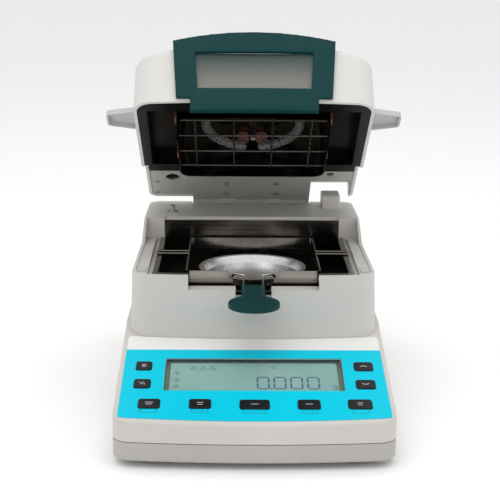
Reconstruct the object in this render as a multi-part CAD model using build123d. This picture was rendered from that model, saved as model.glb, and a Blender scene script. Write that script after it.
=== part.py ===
from build123d import *
import os
from math import cos, radians, sin, tan

# Halogen moisture analyzer: a desk instrument with a sloping key panel in front, a sample
# chamber with a removable pan behind it, and a hinged lid that carries the ring lamp.
# Lengths are millimetres and angles are degrees. X is to the right, Y to the back and Z up.
# Y is counted from the middle of the base's front edge until the last step, which moves the
# whole instrument so that its origin is the middle of its footprint, at the table.
# The lid is drawn closed and swung open at the end.

# base
base_width = 205.0
base_length = 341.0
base_bow = 6.0
base_corner = 14.0
foot_height = 5.0
lower_height = 14.3
parting_gap = 0.6
panel_front_height = 35.3
panel_slope = 12.1
shoulder_height = 66.0
wall = 3.0

# block that holds the chamber
block_front = base_length - 214.0
block_bow = 4.0
block_front_width = base_width - 11.6
block_rear_width = base_width - 16.0
block_corner = 16.0
block_draft = 2.0
rim_height = 112.0
plateau_rise = 17.0
rise_start = base_length - 106.0
plateau_front = base_length - 77.0
ledge_drop = 1.0
rim_lip = 2.6
chamber_front = block_front + 4.0
chamber_half_width = block_front_width / 2 - 12.2
rear_opening_depth = 4.0
groove_depth = 3.0
ring_depth = 3.0
ring_clearance = 0.3

# notch for the window frame's tongue, and slot for the pan handle
notch_half_width = 51.7
notch_depth = 11.6
shelf_depth = 13.0
slot_half_width = 14.3
slot_depth = 7.4

# liner of the chamber
liner_half_width = chamber_half_width - 7.3
liner_wall = 1.2
liner_bead = 3.2
liner_rear_height = 126.0
floor_height = 75.0
floor_thickness = 1.2
spindle_hole = 8.0

# draft shield, which hangs on the liner's lips by two pairs of rods
pan_centre = base_length - 138.0
shield_width = 108.4
shield_length = 120.0
shield_top = 111.3
shield_height = 27.0
sheet = 1.0
vee_half_width = 20.0
vee_bottom_half_width = 13.0
vee_depth = 16.4
vee_flange = 1.6
rod_diameter = 2.0
rod_spacing = 9.0

# pan, pan fork and weighing stem
pan_radius = 45.0
pan_rim_height = 99.8
pan_depth = 6.6
pan_sheet = 0.5
pan_wall_radius = 41.4
wire_diameter = 1.8
fork_ring_radius = 43.2
fork_spread = 7.9
fork_front = pan_centre - 57.0
fork_top = 108.0
handle_radius = 20.0
handle_centre = pan_centre - 107.5
handle_thickness = 3.6
neck_width = 19.2
fork_gap = 0.3
stem_radius = 4.0
arm_reach = 36.0
arm_width = 4.0
arm_thickness = 2.0

# lid
open_angle = 37.4
hinge_y = base_length - 4.5
hinge_z = 128.5
lid_gap = 0.6
lid_height = 60.0
lid_crown_radius = 290.0
roof_fall = 7.0
roof_edge = 6.0
lid_draft = 1.0
lid_corner = 16.0
lid_rear = base_length - 14.0
lid_edge = 8.0
lid_wall = 2.6
plate_gap = 1.0
plate_thickness = 1.5
liner_flange = 1.5
cavity_half_width = chamber_half_width + 1.5
cavity_front = block_front + 15.0
cavity_rear = plateau_front + 1.0
cavity_height = 28.0
hood_half_width = 63.2
hood_front = block_front + 28.0
hood_rear = plateau_front - 6.0
hood_gap = 3.0
hood_corner = 10.0
hood_wall = 1.2
hood_height = 36.0
lamp_radius = 40.0
tube_radius = 4.0
lamp_height = 139.0

# window frame on the lid's front
frame_proud = 3.4
frame_top_half_width = 67.0
frame_bottom_half_width = 61.8
frame_low = 2.6
frame_wrap = 26.0
tongue_half_width = 50.6
tongue_drop = 9.4
window_low = 10.8
window_high = 44.4
window_low_half_width = 45.0
window_high_half_width = 47.4
window_start = block_front - 27.0
window_reach = 38.0
glass_thickness = 2.4

# side grips
grip_reach = 22.0
grip_front = block_front + 13.0
grip_length = 31.0
grip_thickness = 5.0
grip_wall = 1.6

# hinge
barrel_radius = 4.5
hinge_pin_radius = 1.75
hinge_half_length = 54.0
leaf_thickness = 1.5
leaf_front = base_length - 47.0
base_arm_front = base_length - 21.0
base_arm_thickness = 2.5
base_knuckles = [(-27.0, -17.0), (15.6, 26.6)]
running_gap = 0.05
side_gap = 0.3

# keys, as place of the middle on the panel and width and length of the cap
key_height = 12.6
key_travel = 0.6
key_proud = 0.7
key_gap = 0.35
key_corner = 2.0
panel_fit = (block_front - 1.0) / 126.0
width_fit = base_width / 205.0
key_places = {
    "menu_key": (-83.6 * width_fit, 79.2 * panel_fit, 11.8),
    "unit_key": (-83.4 * width_fit, 53.2 * panel_fit, 12.2),
    "up_key": (83.5 * width_fit, 79.1 * panel_fit, 14.2),
    "down_key": (83.1 * width_fit, 52.9 * panel_fit, 14.2),
    "calibrate_key": (-76.7 * width_fit, 25.4 * panel_fit, 15.6),
    "start_key": (-39.7 * width_fit, 25.3 * panel_fit, 15.6),
    "tare_key": (0.0 * width_fit, 24.6 * panel_fit, 21.5),
    "enter_key": (39.6 * width_fit, 24.8 * panel_fit, 16.2),
    "power_key": (76.7 * width_fit, 25.3 * panel_fit, 17.2),
}

# key panel
overlay_thickness = 0.5
overlay_half_width = base_width / 2 - 3.9
overlay_low = 7.4
overlay_bow = 5.0
overlay_high = 126.2 * panel_fit
screen_half_width = 67.5 * width_fit
screen_low = 44.1 * panel_fit
screen_high = 91.5 * panel_fit
screen_thickness = 1.5
screen_recess = 1.2
board_thickness = 1.6
board_drop = 6.0

# feet
foot_radius = 13.0
stud_radius = 3.0
stud_length = 15.0
foot_inset_x = 24.0
foot_front = 30.0
foot_rear = 26.0

plateau_height = rim_height + plateau_rise
parting = foot_height + lower_height
panel = Plane(
    origin=(0, 1.0, panel_front_height),
    x_dir=(1, 0, 0),
    z_dir=(0, -sin(radians(panel_slope)), cos(radians(panel_slope))),
)
parts = {}


def block(x0, x1, y0, y1, z0, z1):
    """Box between two corners."""
    return Pos((x0 + x1) / 2, (y0 + y1) / 2, (z0 + z1) / 2) * Box(x1 - x0, y1 - y0, z1 - z0)


def rod(start, end, radius):
    """Round bar between two points."""
    line = Vector(*end) - Vector(*start)
    plane = Plane(origin=start, z_dir=line)
    return plane * Cylinder(radius, line.length, align=(Align.CENTER, Align.CENTER, Align.MIN))


def upright(x, y, z, radius, height):
    """Round bar that stands on (x, y, z)."""
    return rod((x, y, z), (x, y, z + height), radius)


def group(solids):
    """Several separate solids in one part."""
    return Compound(children=[s for solid in solids for s in solid.solids()])


def plan(front_width, rear_width, front, rear, bow, front_corner, rear_corner):
    """Outline seen from above, with a front edge that bows forward, as a face at z = 0."""
    left, right = -front_width / 2, front_width / 2
    edges = [
        ThreePointArc((left, front + bow), (0, front), (right, front + bow)),
        Line((right, front + bow), (rear_width / 2, rear)),
        Line((rear_width / 2, rear), (-rear_width / 2, rear)),
        Line((-rear_width / 2, rear), (left, front + bow)),
    ]
    face = make_face(edges).face()
    middle = (front + rear) / 2
    face = face.fillet_2d(front_corner, [v for v in face.vertices() if v.Y < middle])
    return face.fillet_2d(rear_corner, [v for v in face.vertices() if v.Y > rear - 0.01
                                        and abs(v.X) > rear_width / 2 - 0.01])


def side_profile(points, half_width=150.0):
    """Solid whose outline seen from the side is a list of (y, z) points."""
    face = make_face(Polyline(*[(0, y, z) for y, z in points], close=True)).face()
    return extrude(face, amount=half_width, dir=(1, 0, 0), both=True)


def panel_z(y):
    """Height of the panel's surface over a place y."""
    return panel_front_height + (y - 1.0) * tan(radians(panel_slope))


def housing_form(inset):
    """Upper housing's outer form, or the hollow inside it where inset is the wall."""
    drop = inset / cos(radians(panel_slope))
    shoulder = shoulder_height - inset
    shoulder_y = 1.0 + (shoulder + drop - panel_front_height) / tan(radians(panel_slope))
    bottom = parting + parting_gap if inset == 0 else parting - 5
    outline = plan(base_width - 2 * inset, base_width - 2 * inset, inset, base_length - inset,
                   base_bow, base_corner - inset, base_corner - inset)
    low = Pos(0, 0, bottom) * extrude(outline, amount=60)
    low &= side_profile([(-20, bottom), (-20, panel_z(-20) - drop), (shoulder_y, shoulder),
                         (base_length + 9, shoulder), (base_length + 9, bottom)])
    spread = 2 * (rim_height - 40) * tan(radians(block_draft))
    outline = plan(block_front_width + spread - 2 * inset, block_rear_width + spread - 2 * inset,
                   block_front - block_bow - spread / 2 + inset, base_length - inset,
                   block_bow, block_corner - inset, base_corner - inset)
    high = Pos(0, 0, 40) * extrude(outline, amount=100, taper=block_draft)
    high &= block(-150, 150, 0, base_length - inset, 40, 150)
    top, plateau = rim_height - inset, plateau_height - inset
    step = [(rise_start, top), (plateau_front - 2, plateau)]
    if inset:
        step = [(plateau_front + inset, top), (plateau_front + inset, plateau)]
    high &= side_profile([(0, 30), (0, top)] + step + [(base_length + 9, plateau),
                                                       (base_length + 9, 30)])
    high &= block(-150, 150, 0, 400, bottom + 25, 150)
    return low + high


def panel_prism(x, y, width, length, corner, low, high):
    """Rounded rectangle on the panel, from one distance off its surface to another."""
    outline = Pos(x, y) * RectangleRounded(width, length, corner)
    return panel * (Pos(0, 0, low) * extrude(outline, amount=high - low))


def rear_height(y):
    """Height of the block's sloped rise over a place y."""
    rise = (y - rise_start) / (plateau_front - 2 - rise_start)
    return rim_height + plateau_rise * min(1.0, max(0.0, rise))


ledge_height = rim_height - ledge_drop
ring_top = ledge_height - groove_depth
shelf_height = rim_height - notch_depth
shelf_rear = block_front - block_bow + shelf_depth
slot_height = shelf_height - slot_depth
front_screw_y = 40.0 * panel_fit
half_base = base_width / 2
screw_places = [(-half_base + 7.4, front_screw_y), (half_base - 7.4, front_screw_y),
                (-half_base + 8.0, base_length - 141.0), (half_base - 8.0, base_length - 141.0),
                (-half_base + 14.5, base_length - 19.0), (half_base - 14.5, base_length - 19.0)]
post_tops = [panel_z(front_screw_y) - 2, panel_z(front_screw_y) - 2, shoulder_height - 2,
             shoulder_height - 2, plateau_height - 2, plateau_height - 2]
post_radius = 4.0
screw_radius = 1.6
screw_head_radius = 3.0
screw_head = 1.6
inlet_places = {"mains_inlet": (-62.0, 38.0, 14.0, 10.0), "serial_port": (45.0, 36.0, 16.0, 6.5)}
fuse_place = (-30.0, 38.0)
fuse_radius = 6.0
board_posts = [(x * width_fit, y * panel_fit)
               for x, y in ((-84, 98), (84, 98), (-80, 39), (80, 39), (-58, 36), (58, 36))]
duct_left, duct_right = 64.7, 81.2
duct_front, duct_rear = base_length - 35.5, base_length - 8.0
duct_top = 141.5


def make_upper_housing():
    """White shell with the key panel, the block around the chamber and the rear plateau."""
    body = housing_form(0)
    front_edge = body.edges().filter_by(
        lambda e: e.center().Y < 12 and abs(e.center().Z - panel_z(e.center().Y)) < 2.5)
    body = fillet(front_edge, 2.6)
    body -= housing_form(wall)
    inset = rim_lip
    outline = plan(block_front_width - 2 * inset, block_rear_width - 2 * inset,
                   block_front - block_bow + inset, base_length, block_bow,
                   block_corner - inset, base_corner)
    pocket = Pos(0, 0, ledge_height) * extrude(outline, amount=60)
    body -= pocket & block(-150, 150, 0, plateau_front, 0, 300)
    body += block(-chamber_half_width - 3, chamber_half_width + 3, chamber_front - 3,
                  plateau_front + 2, ring_top - ring_depth, ledge_height)
    body -= block(-chamber_half_width, chamber_half_width, chamber_front, plateau_front,
                  ring_top, 200)
    body -= block(-liner_half_width - ring_clearance, liner_half_width + ring_clearance,
                  shelf_rear, plateau_front, shoulder_height, 200)
    body -= block(-liner_half_width, liner_half_width, shelf_rear,
                  plateau_front + rear_opening_depth, shoulder_height, 200)
    front = block_front - block_bow + wall - 0.5
    body += block(-notch_half_width - 3, notch_half_width + 3, front, shelf_rear,
                  shelf_height - wall, shelf_height)
    body += block(-slot_half_width - wall, slot_half_width + wall, front, shelf_rear,
                  slot_height - wall, shelf_height)
    body -= block(-notch_half_width, notch_half_width, 0, shelf_rear + 1, shelf_height, 200)
    body -= block(-slot_half_width, slot_half_width, 0, shelf_rear + 1, slot_height, 200)
    deep = -wall - 4
    body -= panel_prism(0, (screen_low + screen_high) / 2, 2 * screen_half_width,
                        screen_high - screen_low, 1.0, deep, 5)
    for x, y, width in key_places.values():
        body -= panel_prism(x, y, width + 2 * key_gap, key_height + 2 * key_gap,
                            key_corner + key_gap, deep, 5)
    for x, y in board_posts:
        body += panel * (Pos(x, y, -board_drop) * Cylinder(
            2.5, board_drop - 1, align=(Align.CENTER, Align.CENTER, Align.MIN)))
    recess_front = hinge_y - barrel_radius - 0.6
    recess_floor = hinge_z - barrel_radius - 0.6
    half = hinge_half_length + 1
    body -= block(-half, half, recess_front, base_length + 1, recess_floor, 200)
    body += block(-half - wall, half + wall, recess_front - wall, base_length - 0.5,
                  recess_floor - wall, recess_floor)
    body += block(-half - wall, half + wall, recess_front - wall, recess_front,
                  recess_floor - wall, plateau_height - 1)
    for low, high in base_knuckles:
        body += block(low - 3, high + 3, base_arm_front - 3, recess_front,
                      plateau_height - base_arm_thickness - 3, plateau_height - 1)
        body -= block(low, high, base_arm_front, base_length + 1,
                      plateau_height - base_arm_thickness, 200)
    for (x, y), top in zip(screw_places, post_tops):
        body += upright(x, y, foot_height + wall, post_radius, top - foot_height - wall)
        body -= upright(x, y, foot_height, screw_radius, 16)
    for x, z, half_width, half_height in inlet_places.values():
        body -= block(x - half_width, x + half_width, base_length - 10, base_length + 5,
                      z - half_height, z + half_height)
    x, z = fuse_place
    body -= rod((x, base_length - 10, z), (x, base_length + 5, z), fuse_radius)
    return body


def make_lower_housing():
    """Tray that closes the base from below and carries the insides."""
    outline = plan(base_width, base_width, 0, base_length, base_bow, base_corner, base_corner)
    body = Pos(0, 0, foot_height) * extrude(outline, amount=lower_height)
    body = fillet(body.faces().sort_by(Axis.Z)[0].edges(), 2.5)
    inner = plan(base_width - 2 * wall, base_width - 2 * wall, wall, base_length - wall, base_bow,
                 base_corner - wall, base_corner - wall)
    thin = wall + 1.6
    inmost = plan(base_width - 2 * thin, base_width - 2 * thin, thin, base_length - thin,
                  base_bow, base_corner - thin, base_corner - thin)
    floor = foot_height + wall
    body -= Pos(0, 0, floor) * extrude(inner, amount=40)
    body += Pos(0, 0, floor) * extrude(inner, amount=parting + 3 - floor)
    body -= Pos(0, 0, floor) * extrude(inmost, amount=40)
    for x, y in screw_places:
        body -= upright(x, y, floor, post_radius + 0.5, 20)
        body -= upright(x, y, 0, screw_radius, 20)
        body -= upright(x, y, 0, screw_head_radius + 0.2, foot_height + screw_head)
    for x, y in foot_places:
        body += upright(x, y, foot_height + 1, stud_radius + 3, stud_length)
        body -= upright(x, y, 0, stud_radius + running_gap, 40)
    for x, y in board_feet:
        body += upright(x, y, foot_height + 1, 3.0, main_board_height - foot_height - 1)
    return body


foot_places = [(-base_width / 2 + foot_inset_x, foot_front),
               (base_width / 2 - foot_inset_x, foot_front),
               (-base_width / 2 + foot_inset_x, base_length - foot_rear),
               (base_width / 2 - foot_inset_x, base_length - foot_rear)]
foot_names = ["foot_front_left", "foot_front_right", "foot_rear_left", "foot_rear_right"]
foot_gap = 0.3
main_board_height = 16.0
board_feet = [(-70, 70), (70, 70), (-70, 128), (70, 128)]
cell_height = 22.0
cell_width = 30.0
bracket_height = 26.0
parts["upper_housing"] = make_upper_housing()
parts["lower_housing"] = make_lower_housing()


def make_screw(x, y, z, head_radius, head, shank_radius, shank):
    """Screw that points up, with a cross in its head."""
    body = upright(x, y, z, head_radius, head) + upright(x, y, z, shank_radius, head + shank)
    cross = block(x - 1.5, x + 1.5, y - 0.3, y + 0.3, z - 1, z + 0.6)
    cross += block(x - 0.3, x + 0.3, y - 1.5, y + 1.5, z - 1, z + 0.6)
    return body - cross


parts["housing_screws"] = group([
    make_screw(x, y, foot_height + 0.2, screw_head_radius, screw_head - 0.2, screw_radius, 12)
    for x, y in screw_places])

for name, (x, y) in zip(foot_names, foot_places):
    pad = upright(x, y, 0, foot_radius, foot_height - foot_gap)
    pad = chamfer(pad.edges().sort_by(Axis.Z)[0], 1.0)
    pad += upright(x, y, foot_height - foot_gap - 1, stud_radius, stud_length)
    parts[name] = pad

# key panel
def overlay_face():
    """Outline of the printed film on the panel."""
    low, high, half = overlay_low + 0.8, overlay_high, overlay_half_width
    edges = [
        ThreePointArc((-half, low), (0, low - overlay_bow), (half, low)),
        Line((half, low), (half, high)),
        ThreePointArc((half, high), (0, high - 4.6), (-half, high)),
        Line((-half, high), (-half, low)),
    ]
    face = make_face(edges).face()
    return face.fillet_2d(3.5, face.vertices())


overlay = panel * extrude(overlay_face(), amount=overlay_thickness)
overlay -= panel_prism(0, (screen_low + screen_high) / 2, 2 * screen_half_width,
                       screen_high - screen_low, 1.0, -1, 5)
switch_top = -wall - 0.05 - 1.0 - key_travel - 0.05
switches = []
for name, (x, y, width) in key_places.items():
    overlay -= panel_prism(x, y, width + 2 * key_gap, key_height + 2 * key_gap,
                           key_corner + key_gap, -1, 5)
    top = overlay_thickness + key_proud
    cap = panel_prism(x, y, width, key_height, key_corner, -wall - 0.1, top)
    upper = cap.faces().sort_by(Axis((0, 0, 0), tuple(panel.z_dir)))[-1]
    cap = fillet(upper.edges(), 0.4)
    flange = panel_prism(x, y, width + 3, key_height + 3, key_corner, -wall - 1.05,
                         -wall - 0.05)
    parts[name] = cap + flange
    switches.append(panel_prism(x, y, 6, 6, 0.5, -board_drop, switch_top))
parts["keypad_overlay"] = overlay

middle = (screen_low + screen_high) / 2
parts["lcd_window"] = panel_prism(0, middle, 2 * screen_half_width, screen_high - screen_low,
                                  1.0, -screen_recess - screen_thickness, -screen_recess)
module_top = -screen_recess - screen_thickness
parts["lcd_module"] = panel_prism(0, middle, 2 * screen_half_width - 8,
                                  screen_high - screen_low - 4, 1.0, module_top - 7, module_top)
board = panel_prism(0, 66 * panel_fit, 176 * width_fit, 108 * panel_fit, 3,
                    -board_drop - board_thickness, -board_drop)
board -= panel_prism(0, middle, 2 * screen_half_width - 8, screen_high - screen_low - 4, 1.0,
                     -20, 5)
for switch in switches:
    board += switch
parts["keypad_board"] = board

# insides of the base
floor_top = foot_height + wall
board = block(-78, 78, 62, 136, main_board_height, main_board_height + board_thickness)
board += block(-60, -30, 75, 105, main_board_height + 1, main_board_height + 5)
board += block(10, 50, 90, 100, main_board_height + 1, main_board_height + 10)
board += upright(-10, 115, main_board_height + 1, 6, 14)
board += upright(10, 115, main_board_height + 1, 6, 14)
parts["main_board"] = board
supply_rear = base_length - 41.0
supply = block(-75, -28, supply_rear - 95, supply_rear, floor_top, floor_top + 3)
supply += block(-72, -31, supply_rear - 90, supply_rear - 58, floor_top + 2, floor_top + 28)
supply += block(-70, -50, supply_rear - 50, supply_rear - 20, floor_top + 2, floor_top + 22)
supply += upright(-38, supply_rear - 35, floor_top + 2, 8, 26)
parts["power_supply"] = supply
cell_base = floor_top + bracket_height
bracket_front = pan_centre + 37.0
parts["load_cell_bracket"] = (
    block(-20, 20, bracket_front, bracket_front + 50, floor_top, cell_base)
    - block(-12, 12, bracket_front + 10, bracket_front + 40, floor_top + 4, cell_base - 4))
cell = block(-cell_width / 2, cell_width / 2, pan_centre - 15, pan_centre + 85, cell_base,
             cell_base + cell_height)
slot_z = cell_base + cell_height / 2
slots = block(-40, 40, pan_centre + 22, pan_centre + 47, slot_z - 1.5, slot_z + 1.5)
for y in (pan_centre + 22, pan_centre + 47):
    slots += rod((-40, y, slot_z), (40, y, slot_z), 7)
cell -= slots
cell -= upright(0, pan_centre, cell_base - 5, stem_radius + running_gap, 40)
parts["load_cell"] = cell

# chamber
liner_front = shelf_rear
liner_rear = plateau_front + rear_opening_depth
outer = block(-liner_half_width, liner_half_width, liner_front, liner_rear, floor_height,
              ring_top + 1)
outer += block(-liner_half_width - liner_bead, liner_half_width + liner_bead,
               liner_front - liner_bead, plateau_front, ring_top, ledge_height)
outer += block(-liner_half_width, liner_half_width, liner_rear - 4, liner_rear, floor_height,
               liner_rear_height)
liner = outer - block(-liner_half_width + liner_wall, liner_half_width - liner_wall,
                      liner_front + liner_wall, liner_rear - liner_wall, 0, 200)
liner -= block(-notch_half_width - 0.3, notch_half_width + 0.3, 0, liner_front + 3,
               shelf_height, 200)
liner -= block(-slot_half_width, slot_half_width, 0, liner_front + 3, slot_height, 200)
parts["chamber_liner"] = liner
plate = block(-liner_half_width, liner_half_width, liner_front, liner_rear,
              floor_height - floor_thickness, floor_height)
for x in (-62, 62):
    for y in (liner_front + 14, liner_rear - 14):
        plate += upright(x, y, floor_height - 0.5, 4, 1.5)
parts["heat_shield"] = plate - upright(0, pan_centre, 0, spindle_hole, 200)

pads = []
for side in (-1, 1):
    pad = block(-3.3, 3.3, chamber_front + 7.5, chamber_front + 22.5, ledge_height,
                ledge_height + 1.0)
    pad = Pos(side * (chamber_half_width + 4.8), 0, 0) * fillet(pad.edges().filter_by(Axis.Z), 1.0)
    pads.append(pad)
parts["lid_rest_pads"] = group(pads)

pin_x, pin_y = -71.5, base_length - 51.0
pin = upright(pin_x, pin_y, plateau_height, 5, 1.0) + upright(pin_x, pin_y, plateau_height, 2.5, 6)
pin = chamfer(pin.edges().sort_by(Axis.Z)[-1], 0.8)
parts["lid_locating_pin"] = pin

duct = block(duct_left, duct_right, duct_front, duct_rear, plateau_height, duct_top)
duct = fillet(duct.edges().filter_by(Axis.X).sort_by(Axis.Z)[-2:], 5.0)
duct = fillet(duct.edges().filter_by(Axis.Z), 1.5)
duct -= block(duct_left + 2, duct_right - 2, duct_rear - 12, duct_rear + 1, plateau_height + 2,
              duct_top - 2.5)
parts["cable_duct"] = duct

# draft shield
half = shield_width / 2
front = pan_centre - 61.0
rear = front + shield_length
low = shield_top - shield_height
walls = block(-half, half, front, rear, low, shield_top)
walls = fillet(walls.edges().filter_by(Axis.Z), 3.0)
inside = block(-half + sheet, half - sheet, front + sheet, rear - sheet, low - 1, 200)
walls -= fillet(inside.edges().filter_by(Axis.Z), 2.0)
vee_low = shield_top - vee_depth


def vee(grow, y0, y1, top):
    """Cut-out of the front wall, seen from the front."""
    points = [(-vee_half_width - grow, y0, top), (-vee_bottom_half_width - grow, y0, vee_low),
              (vee_bottom_half_width + grow, y0, vee_low), (vee_half_width + grow, y0, top)]
    face = make_face(Polyline(*points, close=True)).face()
    return extrude(face, amount=y1 - y0, dir=(0, 1, 0))


flanges = vee(sheet, front, front + sheet + vee_flange, shield_top)
flanges -= vee(0, front - 1, front + 9, shield_top)
flanges -= block(-40, 40, 0, 300, vee_low - 5, vee_low)
walls = walls - vee(0, front - 5, front + 6, shield_top) + flanges
reach = liner_half_width + liner_bead - 0.5
rod_height = ledge_height + rod_diameter / 2
for side in (-1, 1):
    for y in (pan_centre - rod_spacing / 2, pan_centre + rod_spacing / 2):
        walls += rod((side * (half - 0.5), y, rod_height), (side * reach, y, rod_height),
                     rod_diameter / 2)
    walls += rod((side * reach, pan_centre - rod_spacing / 2, rod_height),
                 (side * reach, pan_centre + rod_spacing / 2, rod_height), rod_diameter / 2)
parts["draft_shield"] = walls

# pan and stem
pan_floor = pan_rim_height - pan_depth
lip = pan_rim_height - pan_sheet
points = [(0, 0, pan_floor), (39.5, 0, pan_floor), (pan_wall_radius, 0, lip),
          (pan_radius, 0, lip), (pan_radius, 0, pan_rim_height),
          (pan_wall_radius - pan_sheet, 0, pan_rim_height), (39.1, 0, pan_floor + pan_sheet),
          (0, 0, pan_floor + pan_sheet)]
profile = make_face(Polyline(*points, close=True)).face()
parts["sample_pan"] = Pos(0, pan_centre, 0) * revolve(profile, Axis.Z)

arm_low = pan_floor - arm_thickness
stem = upright(0, pan_centre, cell_base + 2, stem_radius, pan_floor - cell_base - 2)
stem += upright(0, pan_centre, arm_low - 2, 7, arm_thickness + 2)
for turn in (90, 210, 330):
    arm = Rot(0, 0, turn) * block(0, arm_reach, -arm_width / 2, arm_width / 2, arm_low, pan_floor)
    stem += Pos(0, pan_centre, 0) * arm
parts["pan_support"] = stem

# pan fork
handle_low = vee_low
handle_top = handle_low + handle_thickness
wire = wire_diameter / 2
ring_height = lip - fork_gap - wire
start = radians(50)
ring_profile = Pos(fork_ring_radius, 0, 0) * (Rot(90, 0, 0) * Circle(wire))
ring = revolve(ring_profile, Axis.Z, revolution_arc=260)
ring = Pos(0, pan_centre, ring_height) * (Rot(0, 0, -40) * ring)
for side in (-1, 1):
    on_ring = (side * fork_ring_radius * sin(start), pan_centre - fork_ring_radius * cos(start),
               ring_height)
    clear = (on_ring[0] - side * 18 * cos(start), on_ring[1] - 18 * sin(start), ring_height)
    crest = (side * 15.0, fork_front + 3.5, fork_top - 1)
    bend = (side * fork_spread, fork_front, fork_top - 1)
    tail = (side * fork_spread, fork_front, handle_low + 0.8)
    path = [on_ring, clear, crest, bend, tail]
    for a, b in zip(path, path[1:]):
        ring += rod(a, b, wire)
    for corner in path[:4]:
        ring += Pos(*corner) * Sphere(wire)
parts["fork_wire"] = ring
disc = upright(0, handle_centre, handle_low, handle_radius, handle_thickness)
disc += block(-neck_width / 2, neck_width / 2, handle_centre + 10, fork_front + 2.5, handle_low,
              handle_top)
disc = fillet(disc.edges().filter_by(Axis.Z).filter_by(
    lambda e: e.center().Y < handle_centre + handle_radius), 4.0)
disc = fillet(disc.faces().sort_by(Axis.Z)[-1].edges(), 1.0)
for side in (-1, 1):
    disc -= upright(side * fork_spread, fork_front, handle_low + 0.8, wire, 10)
parts["fork_handle"] = disc

# inlets
for name, (x, z, half_width, half_height) in inlet_places.items():
    body = block(x - half_width, x + half_width, base_length - 22, base_length + 0.5,
                 z - half_height, z + half_height)
    flange = block(x - half_width - 3, x + half_width + 3, base_length, base_length + 1.5,
                   z - half_height - 1, z + half_height + 1)
    body += flange
    if name == "mains_inlet":
        body -= block(x - 11, x + 11, base_length - 16, base_length + 5, z - 7.5, z + 7.5)
        for dx, dz in ((-7, -2), (7, -2), (0, 2.5)):
            body += block(x + dx - 1, x + dx + 1, base_length - 18, base_length - 4, z + dz - 2,
                          z + dz + 2)
    else:
        body += block(x - 9, x + 9, base_length, base_length + 5, z - 4.5, z + 4.5)
        body -= block(x - 8, x + 8, base_length - 2, base_length + 6, z - 3.5, z + 3.5)
        for index in range(5):
            body += rod((x - 5 + 2.5 * index, base_length - 3, z + 1.4),
                        (x - 5 + 2.5 * index, base_length + 3, z + 1.4), 0.5)
        for index in range(4):
            body += rod((x - 3.75 + 2.5 * index, base_length - 3, z - 1.4),
                        (x - 3.75 + 2.5 * index, base_length + 3, z - 1.4), 0.5)
    parts[name] = body
x, z = fuse_place
fuse = rod((x, base_length - 30, z), (x, base_length + 0.5, z), fuse_radius)
fuse += rod((x, base_length, z), (x, base_length + 3, z), fuse_radius + 2)
parts["fuse_holder"] = fuse - block(x - 5, x + 5, base_length + 2, base_length + 5, z - 0.6,
                                    z + 0.6)

# lid
lid_low = rim_height + lid_gap
lid_rear_low = plateau_height + lid_gap
roof = rim_height + lid_height + lid_gap


def lid_form(inset):
    """Lid's outer form when closed, or the hollow in it where inset is the wall."""
    outline = plan(block_front_width - 2 * inset, block_rear_width - 2 * inset,
                   block_front - block_bow + inset, lid_rear - inset, block_bow,
                   lid_corner - inset, lid_edge - inset)
    body = Pos(0, 0, lid_low) * extrude(outline, amount=80, taper=lid_draft)
    radius = lid_crown_radius - inset
    top = roof - inset
    drop = radius - (radius ** 2 - 112.0 ** 2) ** 0.5
    face = make_face([
        ThreePointArc((-112, 100, top - drop), (0, 100, top), (112, 100, top - drop)),
        Line((112, 100, top - drop), (112, 100, 90)),
        Line((112, 100, 90), (-112, 100, 90)),
        Line((-112, 100, 90), (-112, 100, top - drop)),
    ]).face()
    slope = roof_fall / (lid_rear - block_front)
    crown = extrude(face, amount=260 * (1 + slope ** 2) ** 0.5, dir=(0, 1, -slope))
    return body & crown


step = [(0, 0), (0, lid_low), (rise_start, lid_low), (plateau_front - 2, lid_rear_low),
        (400, lid_rear_low), (400, 0)]
below = side_profile(step)
window_face = make_face(Polyline(
    (-window_low_half_width, window_start, rim_height + window_low),
    (window_low_half_width, window_start, rim_height + window_low),
    (window_high_half_width, window_start, rim_height + window_high),
    (-window_high_half_width, window_start, rim_height + window_high), close=True)).face()
window_cut = extrude(window_face, amount=window_reach, dir=(0, 1, 0))
shell_outer = lid_form(0)
shell = shell_outer
roof_edges = shell.edges().filter_by(lambda e: e.center().Z > 145 and not (
    abs(e.tangent_at(0.5).Z) > 0.7))
shell = fillet(roof_edges, roof_edge)
shell -= below
shell -= lid_form(lid_wall)
shell -= window_cut
recess_left, recess_right = 51.4, block_rear_width / 2 - 1.5
recess_front_y = base_length - 45.5
recess_top = lid_rear_low + plate_gap + 14.0
shell -= block(recess_left + 2.6, recess_right - 2.8, lid_rear - 8, lid_rear + 5, 100,
               recess_top)
shell -= block(-hinge_half_length, hinge_half_length, lid_rear - 8, lid_rear + 5, 100,
               lid_rear_low + plate_gap)
for index in range(8):
    y = plateau_front - 42.0 + 8.0 * index
    shell -= block(-48, -6, y, y + 3, 155, 200)
    shell -= block(6, 48, y, y + 3, 155, 200)
parts["lid_shell"] = shell

# lid's underside
plate_low = lid_low + plate_gap
plate_rear_low = lid_rear_low + plate_gap
flange_step = [(0, 0), (0, plate_low), (rise_start, plate_low), (plateau_front - 2, plate_rear_low),
               (400, plate_rear_low), (400, 0)]
flange_top = [(y, z + liner_flange if z > 0 else 0) for y, z in flange_step]
flange_zone = side_profile(flange_top) - side_profile(flange_step)
hollow = lid_form(lid_wall)
strip_rear = plateau_front + 13.6
liner = (hollow & flange_zone) & block(-150, 150, 0, strip_rear, 0, 300)
cavity_top = rim_height + cavity_height
wide = liner_flange
liner += (block(-cavity_half_width - wide, cavity_half_width + wide, cavity_front - wide,
                cavity_rear + wide, 100, cavity_top + wide) - side_profile(flange_step))
liner -= block(-cavity_half_width, cavity_half_width, cavity_front, cavity_rear, 90, cavity_top)
hood_low = rim_height + hood_gap
hood_top = hood_low + hood_height


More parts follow.
